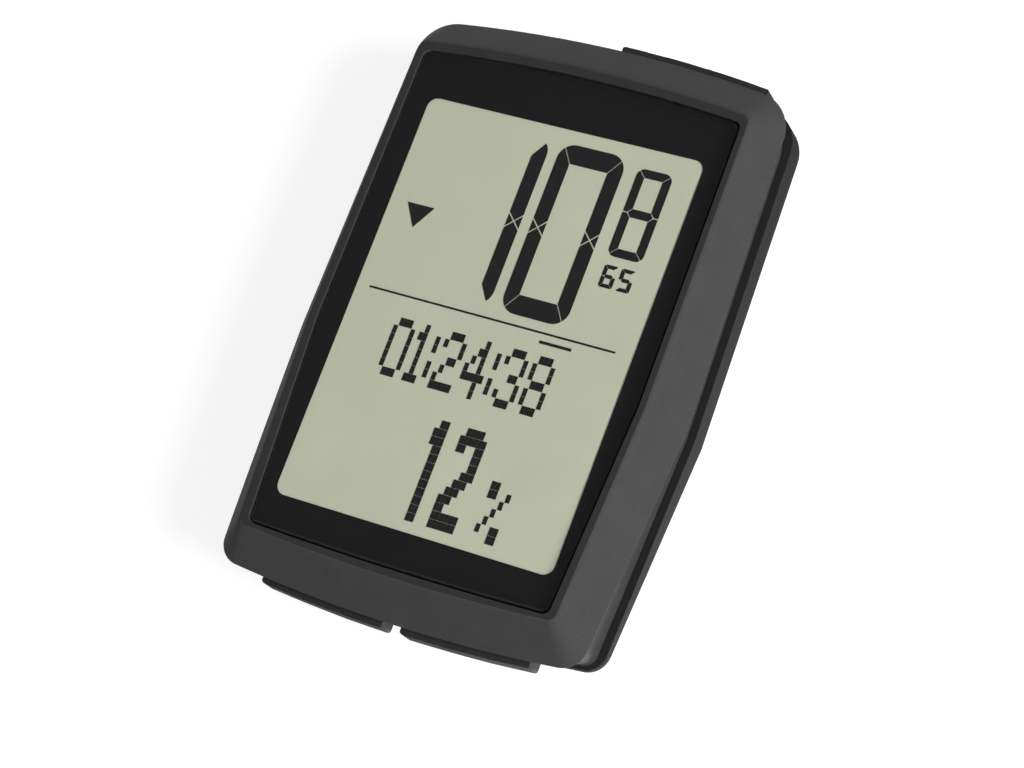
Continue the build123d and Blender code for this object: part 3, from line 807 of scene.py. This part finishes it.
@dataclass
class Assembly:
    """What every sub-assembly shares: the paintbox, and the ways to add and dress its pieces."""

    paints: Paintbox
    weld: float = 0.002 * MM
    level: float = 0.001 * MM
    flat_angle: float = 0.5
    edge_angle: float = 25.0

    def add(self, name: str, mesh: bpy.types.Mesh, body: str, slot: Slot,
            stands_for: Sequence[str] = ()) -> bpy.types.Object:
        """Add a finished mesh as a piece.

        Args:
            name: The piece's name.
            mesh: Its mesh, with its place in it.
            body: The body it moves with.
            slot: Its material slot.
            stands_for: The CAD nodes it replaces.

        Returns:
            The piece.
        """
        piece = put_in_scene(name, mesh)
        mesh.materials.clear()
        mesh.materials.append(self.paints.material(slot))
        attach(piece, body)
        if stands_for:
            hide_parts(*stands_for)
        log.info("%s: %d faces on %s", name, len(mesh.polygons), body)
        return piece

    def dress(self, slot: Slot, *nodes: str) -> None:
        """Give CAD nodes the material of a slot.

        Args:
            slot: The slot.
            *nodes: The CAD nodes' names.
        """
        for node in nodes:
            shown = frame["nodes"][node]
            if not shown.data.materials:
                shown.data.materials.append(None)
            for place in shown.material_slots:
                place.material = self.paints.material(slot)
            log.info("%s: dressed as %s", node, slot.value)

    def soften(self, node: str, slot: Slot, width: float, raise_top: float = 0.0) -> bpy.types.Object:
        """Stand a copy of a CAD node in for it, with its edges rounded as moulding leaves them.

        Args:
            node: The CAD node.
            slot: Its material slot.
            width: How wide each edge's round is.
            raise_top: How far its highest face is raised.

        Returns:
            The piece.
        """
        source = frame["nodes"][node]
        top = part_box(node)[1].z
        shape = bmesh.new()
        shape.from_mesh(source.data)
        bmesh.ops.remove_doubles(shape, verts=shape.verts, dist=self.weld)
        for vertex in shape.verts:
            if vertex.co.z > top - self.level:
                vertex.co.z += raise_top
        bmesh.ops.dissolve_limit(shape, angle_limit=math.radians(self.flat_angle), verts=shape.verts,
                                 edges=shape.edges)
        mesh = as_mesh(f"{node}_shape", shape, smooth=True)
        piece = self.add(mesh.name, mesh, source["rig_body"], slot, [node])
        if width:
            rounding = piece.modifiers.new("edges", "BEVEL")
            rounding.width = width
            rounding.segments = 2
            rounding.limit_method = "ANGLE"
            rounding.angle_limit = math.radians(self.edge_angle)
        flatter = piece.modifiers.new("flats", "WEIGHTED_NORMAL")
        flatter.weight = 100
        flatter.keep_sharp = True
        return piece


@dataclass
class Case(Assembly):
    """The two shells, with what closes and seals them."""

    edge: float = 0.13 * MM
    screw_edge: float = 0.1 * MM
    rim_depth: float = 0.6 * MM
    rim_level: float = 0.99

    def build(self) -> None:
        """Make and dress the case."""
        front = self.soften("upper_shell", Slot.CASE, self.edge)
        # Faces of the rim that look straight up get the darker copy of the case plastic: painted shade.
        front.data.materials.append(RIM_PAINTED_SHADE.material("case_plastic_rim_painted_shade"))
        rim_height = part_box("upper_shell")[1].z - self.rim_depth
        for face in front.data.polygons:
            face.material_index = int(face.normal.z > self.rim_level and face.center.z > rim_height)
        back = self.soften("lower_shell", Slot.CASE, self.edge)
        # The lower shell gets the darker copy of the case plastic: painted shade.
        back.data.materials[0] = BACK_PAINTED_SHADE.material("case_plastic_back_painted_shade")
        self.soften("case_screws", Slot.SCREW, self.screw_edge)
        self.dress(Slot.GASKET, "case_gasket")
        self.dress(Slot.MEMBRANE, "vent_membrane")


@dataclass
class Buttons(Assembly):
    """Three push buttons with their seals and switches."""

    edge: float = 0.1 * MM
    names: tuple[str, ...] = ("left", "right", "top")

    def build(self) -> None:
        """Make and dress the buttons."""
        for name in self.names:
            self.soften(f"button_{name}", Slot.BUTTON, self.edge)
            self.dress(Slot.SEAL, f"button_seal_{name}")
            self.dress(Slot.SWITCH, f"switch_body_{name}")
            self.dress(Slot.PLUNGER, f"switch_plunger_{name}")


@dataclass(frozen=True)
class Digit:
    """The bars of one seven-bar digit, drawn round its own middle, in millimetres."""

    width: float
    height: float
    upright: float
    level: float
    gap: float
    corner: float
    crossed: bool = False
    cross_line: float = 0.7

    def round_points(self, *degrees: int) -> list[Point]:
        """Find points on the round of the top right corner.

        Args:
            *degrees: Their angles from straight up.

        Returns:
            The points, in the order of the angles.
        """
        x, y = self.width / 2 - self.corner, self.height / 2 - self.corner
        turns = [math.radians(angle) for angle in degrees]
        return [(x + self.corner * math.sin(t), y + self.corner * math.cos(t)) for t in turns]

    def bars(self, lit: str) -> list[list[Point]]:
        """Draw some of the digit's bars.

        Args:
            lit: The bars' letters, from a at the top, clockwise to f, and g across the middle. A crossed
                digit adds the triangles h and i where b meets c, and j and k where e meets f.

        Returns:
            One outline for each bar.
        """
        w, h, g = self.width / 2, self.height / 2, self.gap
        u, v = self.upright, self.level
        top = [(x - g / 2, y) for x, y in self.round_points(0, 15, 30, 45)] + [(w - u - g / 2, h - v)]
        right = [(x, y - g / 2) for x, y in self.round_points(45, 60, 75, 90)]
        half, line = u / 2, self.cross_line * g
        if self.crossed:
            right += [(w, half + line), (w - half, line), (w - u, half + line), (w - u, h - v - g / 2)]
            meetings = (("bc", "hi"), ("ef", "jk"))
            lit += "".join(triangles for pair, triangles in meetings if set(pair) <= set(lit))
        else:
            right += [(w, g / 2), (w - half, g / 2), (w - u, v / 2 + g / 2), (w - u, h - v - g / 2)]
        outer = [(w, half - line), (w, line - half), (w - half + line, 0)]
        inner = [(w - u, line - half), (w - u, half - line), (w - half - line, 0)]
        middle = [(w - u / 2 - g, 0), (w - u - g / 2, v / 2), (u + g / 2 - w, v / 2), (u / 2 + g - w, 0),
                  (u + g / 2 - w, -v / 2), (w - u - g / 2, -v / 2)]
        full_top = top + [(-x, y) for x, y in reversed(top)]
        shapes = {
            "a": full_top,
            "b": right,
            "c": [(x, -y) for x, y in right],
            "d": [(x, -y) for x, y in full_top],
            "e": [(-x, -y) for x, y in right],
            "f": [(-x, y) for x, y in right],
            "g": middle,
            "h": outer,
            "i": inner,
            "j": [(-x, y) for x, y in outer],
            "k": [(-x, y) for x, y in inner],
        }
        return [shapes[letter] for letter in lit]


LARGE = Digit(width=7.1, height=17.9, upright=1.5, level=2.0, gap=0.13, corner=1.6, crossed=True)
SMALL = Digit(width=3.7, height=9.2, upright=0.87, level=0.87, gap=0.1, corner=0.75)
TINY = Digit(width=1.45, height=2.3, upright=0.4, level=0.38, gap=0.06, corner=0.2)

SEVEN_BARS: dict[str, str] = {"0": "abcdef", "1": "bc", "5": "acdfg", "6": "acdefg", "8": "abcdefg"}

DOT_GLYPHS: dict[str, tuple[str, ...]] = {
    "0": (".###.", "#...#", "#...#", "#...#", "#...#", "#...#", ".###."),
    "1": (".#.", "##.", ".#.", ".#.", ".#.", ".#.", "###"),
    "2": (".###.", "#...#", "....#", "..##.", ".#...", "#....", "#####"),
    "3": (".###.", "#...#", "....#", "..##.", "....#", "#...#", ".###."),
    "4": ("...#.", "..##.", ".#.#.", "#..#.", "#####", "...#.", "...#."),
    "8": (".###.", "#...#", "#...#", ".###.", "#...#", "#...#", ".###."),
    ":": (".", "#", "#", ".", "#", "#", "."),
    "%": ("##...", "##..#", "...#.", "..#..", ".#...", "#..##", "...##"),
}

TALL_GLYPHS: dict[str, tuple[str, ...]] = {
    "1": (".##", "###", "###", ".##", ".##", ".##", ".##", ".##", ".##", ".##", ".##", ".##"),
    "2": (".####.", "######", "##..##", "....##", "....##", "...###", "..###.", ".###..", "###...",
          "##....", "######", "######"),
}


@dataclass
class Display(Assembly):
    """The lens, its border, and the display with the signs it shows.

    The signs' places are in millimetres from the window's centre.
    """

    lens_edge: float = 0.03 * MM
    rim_slope: float = 0.5
    ink_bite: float = 0.01 * MM
    window_drop: float = 0.25 * MM
    sink: float = 0.006 * MM
    ink_height: float = 0.036 * MM
    dot_pitch: tuple[float, float] = (0.475 * MM, 0.857 * MM)
    dot_size: tuple[float, float] = (0.452 * MM, 0.83 * MM)
    digits: tuple[tuple[Digit, str, float, float], ...] = (
        (LARGE, "1", -4.45, 10.95), (LARGE, "0", 3.75, 10.95), (SMALL, "8", 10.55, 14.6),
        (TINY, "6", 9.7, 7.95), (TINY, "5", 11.5, 7.95))
    arrow: tuple[float, float, float, float] = (-13.1, -10.1, 10.2, 7.8)
    rules: tuple[tuple[float, float, float, float], ...] = ((-13.6, 13.1, 1.05, 0.85), (5.4, 8.8, 0.2, -0.1))
    dot_lines: tuple[tuple[str, dict[str, tuple[str, ...]], float, float, int], ...] = (
        ("01:24:38", DOT_GLYPHS, -9.35, -1.65, 1), ("12", TALL_GLYPHS, -1.35, -10.28, 3),
        ("%", DOT_GLYPHS, 6.25, -14.5, 1))

    def build(self) -> None:
        """Make and dress the display."""
        self.paint_rim(self.soften("display_lens", Slot.LENS, self.lens_edge))
        self.soften("lens_border", Slot.INK, 0.0, raise_top=self.ink_bite)
        self.dress(Slot.TAPE, "lens_tape")
        self.dress(Slot.FILM, "front_polarizer")
        self.dress(Slot.GLASS, "front_glass", "rear_glass")
        self.dress(Slot.REFLECTOR, "display_reflector")
        self.dress(Slot.CHIP, "display_driver")
        self.dress(Slot.FRAME, "display_frame")
        self.dress(Slot.FLEX, "display_flex")
        self.dress(Slot.CONNECTOR, "flex_connector")
        self.add("display_bars", self.bars_mesh(), "case", Slot.INK)
        self.add("display_dots", self.dots_mesh(), "case", Slot.INK)

    def paint_rim(self, lens: bpy.types.Object) -> None:
        """Paint the lens's cut rim with the border's ink, so that no light line runs along it.

        Args:
            lens: The lens.
        """
        lens.data.materials.append(self.paints.material(Slot.INK))
        for face in lens.data.polygons:
            face.material_index = int(abs(face.normal.z) < self.rim_slope)

    def middle(self) -> Vector:
        """Find the display window's centre, at the height of the display's face."""
        low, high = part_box("front_polarizer")
        return Vector(((low.x + high.x) / 2, (low.y + high.y) / 2 - self.window_drop, high.z + self.sink))

    def outlines(self) -> list[list[Point]]:
        """Draw the digits, the arrow and the two rules.

        Returns:
            Their outlines, in millimetres from the window's centre.
        """
        shapes = [[(px + x, py + y) for px, py in bar]
                  for digit, sign, x, y in self.digits for bar in digit.bars(SEVEN_BARS[sign])]
        left, right, top, point = self.arrow
        shapes.append([(left, top), (right, top), ((left + right) / 2, point)])
        for left, right, top, bottom in self.rules:
            shapes.append([(left, top), (right, top), (right, bottom), (left, bottom)])
        return shapes

    def bars_mesh(self) -> bpy.types.Mesh:
        """Raise every outline into a thin solid.

        Returns:
            The mesh of them all.
        """
        centre = self.middle()
        shape = bmesh.new()
        for outline in self.outlines():
            corners = [shape.verts.new(centre + Vector((x * MM, y * MM, 0))) for x, y in outline]
            shape.faces.new(corners)
        raised = bmesh.ops.extrude_face_region(shape, geom=shape.faces[:])
        tops = [part for part in raised["geom"] if isinstance(part, bmesh.types.BMVert)]
        bmesh.ops.translate(shape, verts=tops, vec=(0, 0, self.ink_height))
        bmesh.ops.recalc_face_normals(shape, faces=shape.faces[:])
        return as_mesh("display_bars", shape, smooth=False)

    def dot_rows(self, text: str, glyphs: dict[str, tuple[str, ...]], left: float, top: float,
                 space: int) -> list[Vector]:
        """Find the lit dots of a line of dot signs.

        Args:
            text: The signs to show.
            glyphs: How each sign is drawn.
            left: The first column's place, in millimetres from the window's centre.
            top: The top row's place.
            space: How many columns lie between two signs.

        Returns:
            The middle of each lit dot.
        """
        centre = self.middle()
        dots, column = [], 0
        for sign in text:
            for row, marks in enumerate(glyphs[sign]):
                for index, mark in enumerate(marks):
                    if mark == "#":
                        x = left * MM + (column + index) * self.dot_pitch[0]
                        y = top * MM - row * self.dot_pitch[1]
                        dots.append(centre + Vector((x, y, 0)))
            column += len(glyphs[sign][0]) + space
        return dots

    def dots_mesh(self) -> bpy.types.Mesh:
        """Grow a flat dot on every lit place of the dot matrix.

        Returns:
            The dots' mesh.
        """
        dots = [dot for line in self.dot_lines for dot in self.dot_rows(*line)]
        sizes = {"Width": self.dot_size[0], "Length": self.dot_size[1], "Height": self.ink_height}
        growth = Growth("dot_matrix", sizes)
        half_up = growth.vector(0.0, 0.0, growth.size("Height") * 0.5)
        raised = growth.node("GeometryNodeTransform", None,
                             {"Geometry": growth.block(), "Translation": half_up})
        return growth.finish(raised.outputs[0], points_mesh("dot_places", dots),
                             self.paints.material(Slot.INK))


@dataclass
class BatteryBay(Assembly):
    """The cell, its contacts, the screw-in cover and the cover's grip."""

    edge: float = 0.12 * MM
    ribs: int = 40
    rib_size: tuple[float, float, float] = (1.5 * MM, 0.34 * MM, 0.22 * MM)
    rib_inset: float = 1.25 * MM
    rib_sink: float = 0.08 * MM

    def build(self) -> None:
        """Make and dress the battery bay."""
        self.soften("battery_cover", Slot.CASE, self.edge)
        self.soften("coin_cell", Slot.CELL, 0.0)
        self.dress(Slot.CONTACT, "positive_contact", "negative_contact")
        self.dress(Slot.SEAL, "cover_seal")
        self.add("cover_grip", self.grip_mesh(), "cover", Slot.CASE)

    def grip_mesh(self) -> bpy.types.Mesh:
        """Grow a ring of small grip ribs on the cover's outer face.

        Returns:
            The ribs' mesh.
        """
        low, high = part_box("battery_cover")
        radius = (high.x - low.x) / 2 - self.rib_inset - self.rib_size[0] / 2
        height = low.z + self.rib_sink - self.rib_size[2] / 2
        steps = [2 * math.pi * index / self.ribs for index in range(self.ribs)]
        places = [(radius * math.cos(a), radius * math.sin(a), height) for a in steps]
        growth = Growth("cover_ribs", dict(zip(("Length", "Width", "Height"), self.rib_size)))
        angle = growth.node("ShaderNodeMath", {"operation": "ARCTAN2"},
                            {0: growth.axis(1), 1: growth.axis(0)})
        turn = growth.vector(0.0, 0.0, angle.outputs[0])
        return growth.finish(growth.block(), points_mesh("rib_places", places),
                             self.paints.material(Slot.CASE), turn)


@dataclass
class Electronics(Assembly):
    """The circuit board, what it carries, and the chips' leads."""

    lead_size: tuple[float, float, float] = (0.8 * MM, 0.26 * MM, 0.16 * MM)
    lead_pitch: float = 0.8 * MM
    lead_reach: float = 0.3

    def build(self) -> None:
        """Make and dress the board."""
        self.dress(Slot.BOARD, "circuit_board")
        self.dress(Slot.CHIP, "controller_chip", "receiver_chip")
        self.dress(Slot.CAN, "clock_crystal", "pressure_sensor")
        self.dress(Slot.COPPER, "receiver_coil")
        self.dress(Slot.FERRITE, "ferrite_rod")
        self.dress(Slot.CERAMIC, "capacitors")
        for chip in ("controller_chip", "receiver_chip"):
            self.add(f"{chip}_leads", self.leads_mesh(chip), "case", Slot.CAN)

    def leads_mesh(self, chip: str) -> bpy.types.Mesh:
        """Grow a row of leads along the four sides of a chip.

        Args:
            chip: The chip's CAD node.

        Returns:
            The leads' mesh.
        """
        low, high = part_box(chip)
        middle = (low + high) / 2
        reach = (high.x - low.x) / 2 + self.lead_size[0] * self.lead_reach
        count = int((high.x - low.x) / self.lead_pitch)
        places = []
        for index in range(count):
            across = (index - (count - 1) / 2) * self.lead_pitch
            for side in (-1, 1):
                places.append((middle.x + side * reach, middle.y + across, low.z + self.lead_size[2]))
                places.append((middle.x + across, middle.y + side * reach, low.z + self.lead_size[2]))
        growth = Growth(f"{chip}_leads", dict(zip(("Length", "Width", "Height"), self.lead_size)))
        along = (growth.axis(0) - middle.x).size()
        across = (growth.axis(1) - middle.y).size()
        turn = growth.vector(0.0, 0.0, (across > along) * (math.pi / 2))
        return growth.finish(growth.block(), points_mesh(f"{chip}_places", places),
                             self.paints.material(Slot.CAN), turn)


# ---- Studio ----


@dataclass(frozen=True)
class Softbox:
    """One soft lamp."""

    name: str
    place: tuple[float, float, float]
    width: float
    power: float
    mirrored: bool = True


@dataclass
class Studio:
    """The floor, the lamps, the world and the camera."""

    floor_profile: tuple[tuple[float, float], ...] = (
        (0.5, 0.0), (1.6, 0.0), (1.9, 0.04), (2.15, 0.14), (2.3, 0.3), (2.38, 0.6))
    floor_sides: int = 96
    floor_drop: float = 0.02 * MM
    floor_white: float = 0.38
    floor_lift: float = 0.79
    mirrored_lift: float = 0.28
    floor_fade: tuple[float, float] = (0.12, 0.7)
    world_level: float = 0.16
    lens_mm: float = 105.47
    aim: tuple[float, float] = (4.69 * MM, -5.9 * MM)
    distance: float = 283.23 * MM
    azimuth: float = -27.07
    elevation: float = 63.38
    roll: float = -44.55
    softboxes: tuple[Softbox, ...] = (
        Softbox("right", (0.68, -0.06, 0.49), 0.3, 9.2, mirrored=False),
        Softbox("far", (0.1, 0.5, 0.75), 0.4, 0.4),
        Softbox("near", (0.12, -0.5, 0.75), 0.4, 0.9),
        Softbox("above", (0.4, -0.35, 0.75), 0.4, 0.5),
        Softbox("below", (0.05, -0.1, -0.7), 0.5, 9.0),
    )

    def build(self) -> None:
        """Set up the studio."""
        self.lay_floor()
        self.light()
        self.place_camera()
        bpy.context.scene.view_settings.view_transform = "Standard"

    def lay_floor(self) -> None:
        """Lay a pale floor just under the foot, curving up far away, which is see-through from below."""
        shape = bmesh.new()
        rings = []
        for radius, height in self.floor_profile:
            turns = [math.tau * i / self.floor_sides for i in range(self.floor_sides)]
            rings.append([
                shape.verts.new((radius * math.cos(t), radius * math.sin(t), height - self.floor_drop))
                for t in turns])
        shape.faces.new(rings[0])
        for inner, outer in zip(rings, rings[1:]):
            for i in range(self.floor_sides):
                shape.faces.new((inner[i - 1], outer[i - 1], outer[i], inner[i]))
        floor = put_in_scene("floor", as_mesh("floor", shape, smooth=True))
        surface = Surface("floor")
        path = surface.node("ShaderNodeLightPath")
        away = surface.distance().ramp(*self.floor_fade)
        lift = away * (1 - self.floor_lift) + self.floor_lift
        seen = Field(surface, path.outputs["Is Camera Ray"]) * lift
        mirrored = Field(surface, path.outputs["Is Glossy Ray"])
        mirrored = mirrored.higher(Field(surface, path.outputs["Is Transmission Ray"])) * self.mirrored_lift
        white = (self.floor_white,) * 3
        surface.dress(Base_Color=white, Roughness=0.8, Specular_IOR_Level=0.1,
                      Emission_Color=seen.higher(mirrored), Emission_Strength=1.0)
        below = Field(surface, surface.node("ShaderNodeNewGeometry").outputs["Backfacing"])
        below = below.higher(Field(surface, path.outputs["Is Shadow Ray"]))
        surface.open_up(below, (1.0, 1.0, 1.0))
        floor.data.materials.append(surface.material)

    def light(self) -> None:
        """Set the world's level and hang the soft lamps."""
        world = bpy.data.worlds.new("studio")
        world.use_nodes = True
        background = world.node_tree.nodes["Background"]
        background.inputs[0].default_value = (1.0, 1.0, 1.0, 1.0)
        background.inputs[1].default_value = self.world_level
        bpy.context.scene.world = world
        for box in self.softboxes:
            lamp = bpy.data.lights.new(box.name, "AREA")
            lamp.size = box.width
            lamp.energy = box.power
            holder = put_in_scene(box.name, lamp)
            holder.visible_glossy = holder.visible_transmission = box.mirrored
            holder.location = box.place
            holder.rotation_euler = Vector(box.place).to_track_quat("Z", "Y").to_euler()

    def place_camera(self) -> None:
        """Aim the camera at the display's face."""
        azimuth, elevation = math.radians(self.azimuth), math.radians(self.elevation)
        away = Vector((math.cos(elevation) * math.cos(azimuth), math.cos(elevation) * math.sin(azimuth),
                       math.sin(elevation)))
        turned = away.to_track_quat("Z", "Y").to_matrix() @ Matrix.Rotation(math.radians(self.roll), 3, "Z")
        target = Vector((*self.aim, case_box[1][2]))
        camera = bpy.data.cameras.new("camera")
        camera.lens = self.lens_mm
        camera.clip_start = 0.01
        holder = put_in_scene("camera", camera)
        holder.location = target + away * self.distance
        holder.rotation_euler = turned.to_euler()
        bpy.context.scene.camera = holder


def main() -> None:
    """Build every sub-assembly, then the studio."""
    logging.basicConfig(level=logging.INFO, format="%(name)s: %(message)s")
    paints = Paintbox()
    for assembly in (Case, Buttons, Display, BatteryBay, Electronics):
        assembly(paints).build()
    Studio().build()


if __name__ == "__main__":
    main()
